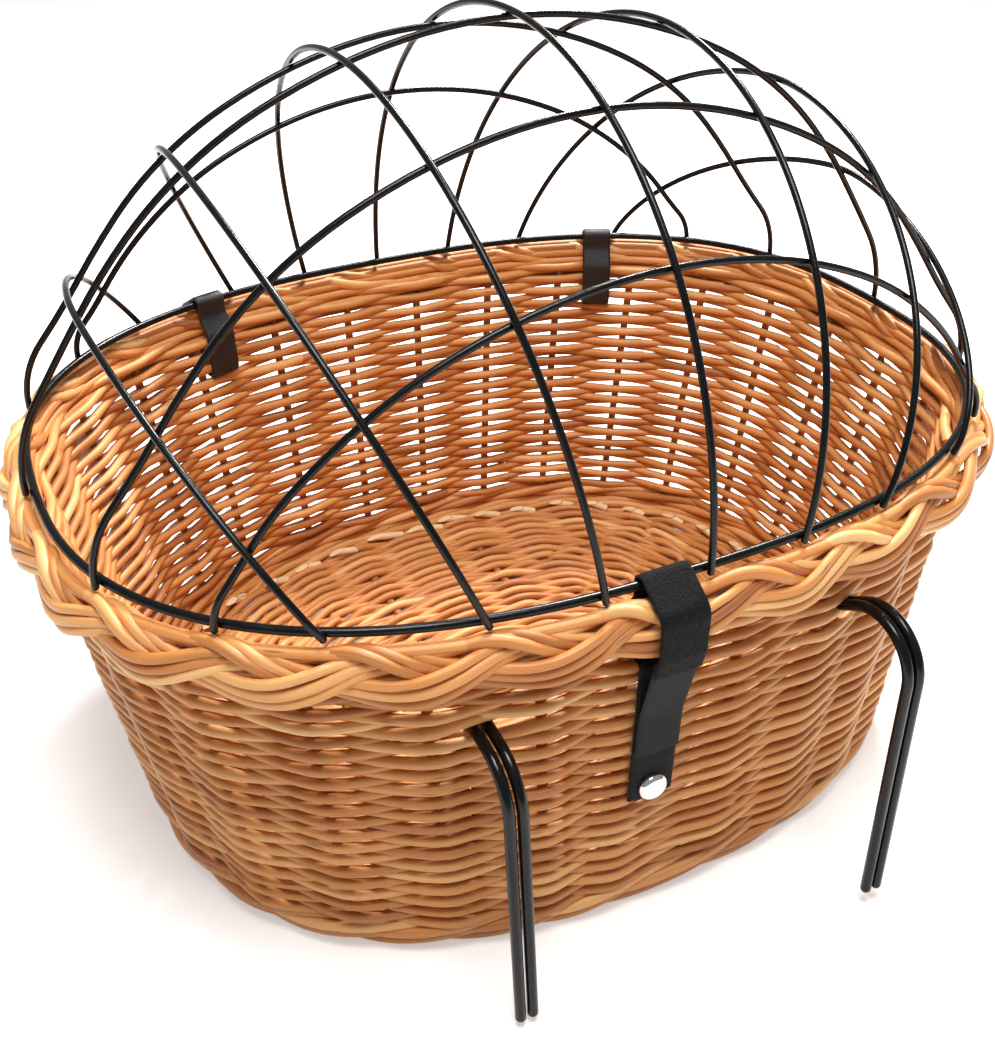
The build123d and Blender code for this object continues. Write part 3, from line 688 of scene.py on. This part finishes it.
def stick_crossings(a, b):
    """Turns at which an oval crosses the base's sticks, in order."""
    turns = []
    for x in (np.arange(CROSS_STICKS) - CROSS_STICKS // 2) * CROSS_STICK_PITCH:
        if abs(x) < a * CROSS_STICK_SHARE:
            turns += [turn_at(x, a, 1), turn_at(x, a, -1)]
    for y in (np.arange(LONG_STICKS) - LONG_STICKS // 2) * LONG_STICK_PITCH:
        if abs(y) < b * LONG_STICK_SHARE:
            share = signed_power(y / b, OVAL_POWER / 2)
            turns += [np.arcsin(share), pi - np.arcsin(share)]
    return np.sort(np.array(turns) % (2 * pi))


def base_weave():
    rods = Rods()
    for ring in range(BASE_RINGS):
        a = BASE_A - BASE_EDGE - ring * BASE_PITCH
        b = BASE_B - BASE_EDGE - ring * BASE_PITCH
        if b < BASE_LEAST:
            break
        crossings = stick_crossings(a, b)
        number = len(crossings)
        known = np.concatenate([crossings[-1:] - 2 * pi, crossings, crossings[:1] + 2 * pi])
        count = max(BASE_LEAST_STEPS, int(BASE_STEPS * a / BASE_A))
        turn = np.linspace(0, 2 * pi, count) + BASE_START + ring * BASE_START_STEP
        phase = np.interp(turn % (2 * pi), known, np.arange(-1, number + 1))
        line = oval(turn, a, b, BASE_HEIGHT)
        line[:, 2] += (BASE_SWING * soft_triangle(phase + ring, BASE_SHARP)
                       + wander(count, BASE_KNOTS, BASE_STRAY))
        size = rng.normal(BASE_ROD, BASE_ROD_SPREAD)
        radius = size * (1 + wander(count, BASE_LUMP_KNOTS, BASE_LUMPS))
        rods.add(line, radius, tone_near(WEAVE_TONE, BASE_TONE_SPREAD))
    piece = rods.build("base_randing", WEAVE_WILLOW)
    finish_piece(piece, "basket", ["base_weave"])


def base_ends():
    """The slanted ends of the stakes that were pushed into the base, round its edge."""
    rods = Rods()
    for turn in even_turns(BASE_A - END_LINE, BASE_B - END_LINE, END_COUNT):
        turn = np.array([turn + rng.normal(0, END_TURN_SPREAD)])
        inset = END_INSET + rng.uniform(0, END_INSET_SPREAD)
        a, b = BASE_A - inset, BASE_B - inset
        hidden = oval(turn - END_TURN, a, b, END_LOW)[0]
        shown = oval(turn, a, b, END_HIGH + rng.normal(0, END_HIGH_SPREAD))[0]
        share = np.linspace(0, 1, END_STEPS)[:, None]
        line = hidden * (1 - share) + shown * share
        rods.add(line, END_ROD, rng.uniform(*END_TONES), cut=(0, END_SLANT))
    piece = rods.build("base_stake_ends", CUT_WILLOW)
    finish_piece(piece, "basket")


side_weave()
border_plait()
foot()
base_weave()
base_ends()


# Bands and straps: flat strips along rounded lines in upright planes across the ring

def rounded(corners, bends, closed=False, step=STRIP_STEP):
    """Points along straight runs joined by arcs, with no two points at one place."""
    number = len(corners)
    points = [] if closed else [corners[0]]
    inner = range(number) if closed else range(1, number - 1)
    for k in inner:
        bend = bends[k if closed else k - 1]
        before = corners[k - 1] - corners[k]
        after = corners[(k + 1) % number] - corners[k]
        before /= np.linalg.norm(before)
        after /= np.linalg.norm(after)
        half = np.arccos(np.clip(before @ after, -1, 1)) / 2
        reach = bend / np.tan(half)
        middle = before + after
        middle = corners[k] + middle / np.linalg.norm(middle) * bend / np.sin(half)
        first = corners[k] + before * reach - middle
        last = corners[k] + after * reach - middle
        turn = pi - 2 * half
        for share in np.linspace(0, 1, max(BEND_STEPS, int(bend * turn / step) + 1)):
            arc = np.sin((1 - share) * turn) * first + np.sin(share * turn) * last
            points.append(middle + arc / np.sin(turn))
    points.append(points[0] if closed else corners[-1])
    dense = [points[0]]
    for point in points[1:]:
        start = dense[-1]
        gap = np.linalg.norm(point - start)
        if gap < SAME_PLACE:
            continue
        pieces = int(gap / (2 * step)) + 1
        dense += [start + (point - start) * (i + 1) / pieces for i in range(pieces)]
    return np.array(dense)


def strip(line, across, width, thickness, closed=False, columns=STRIP_COLUMNS, relief=None):
    """A flat strip with rounded edges; relief(u, v) raises its outer face."""
    way = np.gradient(line, axis=0)
    if closed:
        way[0] = way[-1] = line[1] - line[-2]
    way /= np.linalg.norm(way, axis=1, keepdims=True)
    normal = np.cross(way, across)
    width = np.broadcast_to(width, (len(line),))
    half = np.linspace(-1, 1, columns + 1)
    edge = np.sqrt(np.clip(1 - np.abs(half) ** STRIP_ROUND, 0.0, 1))
    edge = edge * (1 - STRIP_RIM) + STRIP_RIM
    edge[[0, -1]] = STRIP_EDGE
    outer = np.stack([half, edge], axis=1)
    profile = np.concatenate([outer, outer[::-1] * [1, -1]])
    raised = np.zeros((len(line), len(profile)))
    if relief is not None:
        raised[:, :columns + 1] = relief(way_along(line)[:, None],
                                         half[None, :] * width[:, None] / 2)
    body = (line[:, None, :]
            + across[None, None, :] * profile[None, :, 0, None] * width[:, None, None] / 2
            + normal[:, None, :] * (profile[None, :, 1, None] * thickness / 2
                                    + raised[:, :, None]))
    sides = len(profile)
    if closed:
        body = body[:-1]
    rows = len(body)
    index = np.arange(rows * sides).reshape(rows, sides)
    ahead = np.roll(index, -1, axis=0) if closed else index[1:]
    here = index if closed else index[:-1]
    quads = np.stack([here, ahead, np.roll(ahead, -1, 1), np.roll(here, -1, 1)], axis=-1)
    faces = quads.reshape(-1, 4).tolist()
    if not closed:
        faces += [index[0].tolist(), index[-1][::-1].tolist()]
    return body.reshape(-1, 3), faces


def pile(along, across):
    """The loops of loop tape, as small bumps in no order."""
    def bent(first, second, wave):
        speed, bend, other = wave
        return np.sin(first * speed + bend * np.sin(second * other))

    u, v = along / PILE_SIZE, across / PILE_SIZE
    bumps = bent(u, v, PILE_ALONG) * bent(v, u, PILE_ACROSS)
    speed, start, other = PILE_SLOW
    slow = np.sin(u * speed + start) * np.sin(v * other)
    return PILE_HEIGHT * bumps + PILE_SLOW_HEIGHT * slow


class Site:
    """An upright plane across the ring; places in it are distances out and heights."""

    def __init__(self, x, side):
        self.turn = np.array([turn_at(x, RING_A, side)])
        self.origin = oval(self.turn, RING_A, RING_B, 0.0)[0]
        self.out = oval_out(self.turn, RING_A, RING_B)[0]
        if side < 0:
            self.out = np.array([0.0, -1.0, 0.0])
        self.across = np.cross(UP, self.out)

    def points(self, places):
        return [self.origin + self.out * out + UP * z for out, z in places]

    def wall(self, z, inset):
        """The distance out of the wall's outside, or of a line that far inside it."""
        face = oval(self.turn, *wall_axes(z, inset), 0.0)[0]
        return float((face - self.origin) @ self.out)


def closing_band():
    site = Site(BAND_X, -1)
    half = BAND_THICKNESS / 2
    ring_out = RING_WIRE / 2 + TAPE_RING_GAP + half
    border_out = BORDER_REACH + TAPE_GAP + half
    inner, outer = WALL_THICKNESS + TAPE_INNER_GAP + half, -TAPE_GAP - half
    places = [(-ring_out, BAND_TOP_Z), (site.wall(BAND_INNER_Z, inner), BAND_INNER_Z),
              (site.wall(BAND_SLOT_Z, inner), BAND_SLOT_Z),
              (site.wall(BAND_SLOT_Z, outer), BAND_SLOT_Z),
              (site.wall(BAND_END_Z, outer), BAND_END_Z)]
    line = rounded(site.points(places), BAND_BENDS)
    points, faces = strip(line, site.across, BAND_WIDTH, BAND_THICKNESS)
    piece = mesh_piece("wall_band", points, faces, LOOP_TAPE)
    finish_piece(piece, "basket", ["closing_band"])

    tab_inset = -2 * TAPE_GAP - BAND_THICKNESS - TAB_THICKNESS / 2
    lap = (BAND_THICKNESS + TAB_THICKNESS) / 2 + TAB_LAP_GAP
    leave = np.array([border_out, FLAP_LEAVE_Z])
    meet = np.array([site.wall(TAB_MEET_Z, tab_inset), TAB_MEET_Z])
    reach = meet - leave
    turn = np.arctan2(reach[1], reach[0]) + np.arctan2(lap, np.linalg.norm(reach))
    way = np.array([cos(turn), sin(turn)])
    inward = np.array([sin(turn), -cos(turn)]) * lap
    places = [(-ring_out, FLAP_ROOT_Z), (-ring_out, RING_Z + ring_out * RING_CLEAR),
              (border_out, OVER_BORDER_Z), leave, leave + way * FLAP_LAP]
    line = rounded(site.points(places), [ring_out, *FLAP_BENDS], step=FLAP_STEP)
    points, faces = strip(line, site.across, BAND_WIDTH, BAND_THICKNESS,
                          columns=FLAP_COLUMNS, relief=pile)
    piece = mesh_piece("closing_flap_pile", points, faces, LOOP_TAPE)
    finish_piece(piece, "band_flap", ["closing_flap"])

    places = [leave + inward + way * TAB_LAP, meet,
              (site.wall(TAB_END_Z, tab_inset), TAB_END_Z)]
    line = rounded(site.points(places), [TAB_BEND])
    width = BAND_WIDTH * np.linspace(1.0, TAB_NARROW, len(line))
    points, faces = strip(line, site.across, width, TAB_THICKNESS)
    piece = mesh_piece("flap_tab_tape", points, faces, HOOK_TAPE)
    finish_piece(piece, "band_flap", ["flap_tab"])


def rear_strap(x, side):
    site = Site(x, 1)
    half = STRAP_THICKNESS / 2
    ring_out = RING_WIRE / 2 + STRAP_GAP + half
    border_out = BORDER_REACH + STRAP_GAP + half
    inner = WALL_THICKNESS + STRAP_INNER_GAP + half
    places = [(site.wall(STRAP_SLOT_Z, inner), STRAP_SLOT_Z),
              (site.wall(STRAP_INNER_AT, inner), STRAP_INNER_Z), (-ring_out, STRAP_TOP_Z),
              (-ring_out, RING_Z + ring_out * RING_CLEAR), (border_out, OVER_BORDER_Z),
              (border_out, STRAP_SLOT_Z)]
    bends = [STRAP_BEND, STRAP_WIDE_BEND, STRAP_WIDE_BEND, ring_out, STRAP_WIDE_BEND,
             STRAP_BEND]
    line = rounded(site.points(places), bends, closed=True)
    points, faces = strip(line, site.across, STRAP_WIDTH, STRAP_THICKNESS, closed=True)
    piece = mesh_piece(f"rear_strap_{side}_leather", points, faces, LEATHER)
    for drop in HOLE_DROPS:
        punch(piece, site, drop)
    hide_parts(f"rear_strap_{side}")
    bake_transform(piece)


def punch(piece, site, drop):
    """Cuts a round hole through the inner run of a strap."""
    angle = np.arange(HOLE_SIDES) * 2 * pi / HOLE_SIDES
    middle = site.origin + UP * (RING_Z - drop)
    ring = (site.across[None] * np.cos(angle)[:, None]
            + UP[None] * np.sin(angle)[:, None])
    near = middle + ring * HOLE_RADIUS
    points = np.concatenate([near, near - site.out * HOLE_REACH])
    here = np.arange(HOLE_SIDES)
    ahead = (here + 1) % HOLE_SIDES
    faces = np.stack([here, ahead, HOLE_SIDES + ahead, HOLE_SIDES + here], axis=1).tolist()
    faces += [here[::-1].tolist(), (HOLE_SIDES + here).tolist()]
    tool = mesh_piece("hole_tool", points, faces, LEATHER)
    cutter = piece.modifiers.new("hole", "BOOLEAN")
    cutter.object = tool
    cutter.operation = "DIFFERENCE"
    cutter.solver = "EXACT"
    bpy.context.view_layer.update()
    seen = piece.evaluated_get(bpy.context.evaluated_depsgraph_get())
    mesh = bpy.data.meshes.new_from_object(seen)
    piece.modifiers.clear()
    piece.data = mesh
    bpy.data.objects.remove(tool)


closing_band()
for x, side in zip(STRAP_X, ("left", "right")):
    rear_strap(x, side)


# Stage: floor, lights and camera

FLOOR_COLOUR, FLOOR_ROUGHNESS, FLOOR_GLOW = (0.88, 0.87, 0.855, 1), 0.7, 0.40
FLOOR_HALF, FLOOR_DROP = 6.0, 0.0004
WORLD_COLOUR, WORLD_FILL = (1.0, 0.995, 0.985, 1), 0.31
AIM = Vector((0, 0, 0.15))
LENS, SENSOR = 42.68, 36
CAMERA_PLACE = (-0.2610, -0.5291, 0.5132)
CAMERA_RIGHT = (0.89946, -0.43696, -0.00572)
CAMERA_UP = (0.24698, 0.49751, 0.83155)
CAMERA_BACK = (-0.36051, -0.74937, 0.55541)


def stage_floor():
    """A pale floor that looks evenly lit, and still takes soft shadows."""
    n = Nodes("studio_floor")
    n.set(Base_Color=FLOOR_COLOUR, Roughness=FLOOR_ROUGHNESS)
    rays = n.new("ShaderNodeLightPath")
    seen = n.math("MAXIMUM", rays.outputs["Is Camera Ray"], rays.outputs["Is Glossy Ray"])
    seen = n.math("MAXIMUM", seen, rays.outputs["Is Transmission Ray"])
    glow = n.new("ShaderNodeEmission", {"Color": (1, 1, 1, 1),
                                        "Strength": n.math("MULTIPLY", seen, FLOOR_GLOW)})
    both = n.new("ShaderNodeAddShader", {0: n.surface.outputs[0], 1: glow.outputs[0]})
    n.put(n.tree.nodes["Material Output"].inputs["Surface"], both.outputs[0])
    half = FLOOR_HALF
    points = [(-half, -half, 0), (half, -half, 0), (half, half, 0), (-half, half, 0)]
    floor = mesh_piece("studio_floor", points, [[0, 1, 2, 3]], n.material)
    floor.location.z = -FLOOR_DROP


def studio_world():
    """White where the camera sees it, and a weaker fill light elsewhere."""
    world = bpy.data.worlds.new("studio")
    world.use_nodes = True
    tree = world.node_tree
    rays = tree.nodes.new("ShaderNodeLightPath")
    seen = tree.nodes.new("ShaderNodeMath")
    seen.operation = "MAXIMUM"
    tree.links.new(rays.outputs["Is Camera Ray"], seen.inputs[0])
    tree.links.new(rays.outputs["Is Transmission Ray"], seen.inputs[1])
    strength = tree.nodes.new("ShaderNodeMapRange")
    strength.inputs["To Min"].default_value = WORLD_FILL
    tree.links.new(seen.outputs[0], strength.inputs["Value"])
    background = tree.nodes["Background"]
    background.inputs["Color"].default_value = WORLD_COLOUR
    tree.links.new(strength.outputs["Result"], background.inputs["Strength"])
    bpy.context.scene.world = world


def area_light(name, place, size, watts, colour=(1, 1, 1)):
    light = bpy.data.lights.new(name, "AREA")
    light.size = size
    light.energy = watts
    light.color = colour
    lamp = bpy.data.objects.new(name, light)
    lamp.location = place
    lamp.rotation_euler = (AIM - Vector(place)).to_track_quat("-Z", "Y").to_euler()
    bpy.context.scene.collection.objects.link(lamp)


def photo_camera():
    camera = bpy.data.cameras.new("photo_camera")
    camera.lens = LENS
    camera.sensor_width = SENSOR
    view = bpy.data.objects.new("photo_camera", camera)
    turn = Matrix((CAMERA_RIGHT, CAMERA_UP, CAMERA_BACK)).transposed().to_4x4()
    view.matrix_world = Matrix.Translation(CAMERA_PLACE) @ turn
    bpy.context.scene.collection.objects.link(view)
    bpy.context.scene.camera = view


stage_floor()
studio_world()
area_light("key", place=(0.75, 0.75, 1.5), size=0.42, watts=62, colour=(1.0, 0.985, 0.96))
area_light("top", place=(-0.15, -0.4, 1.8), size=0.7, watts=28)
photo_camera()
bpy.context.scene.view_settings.view_transform = "Standard"
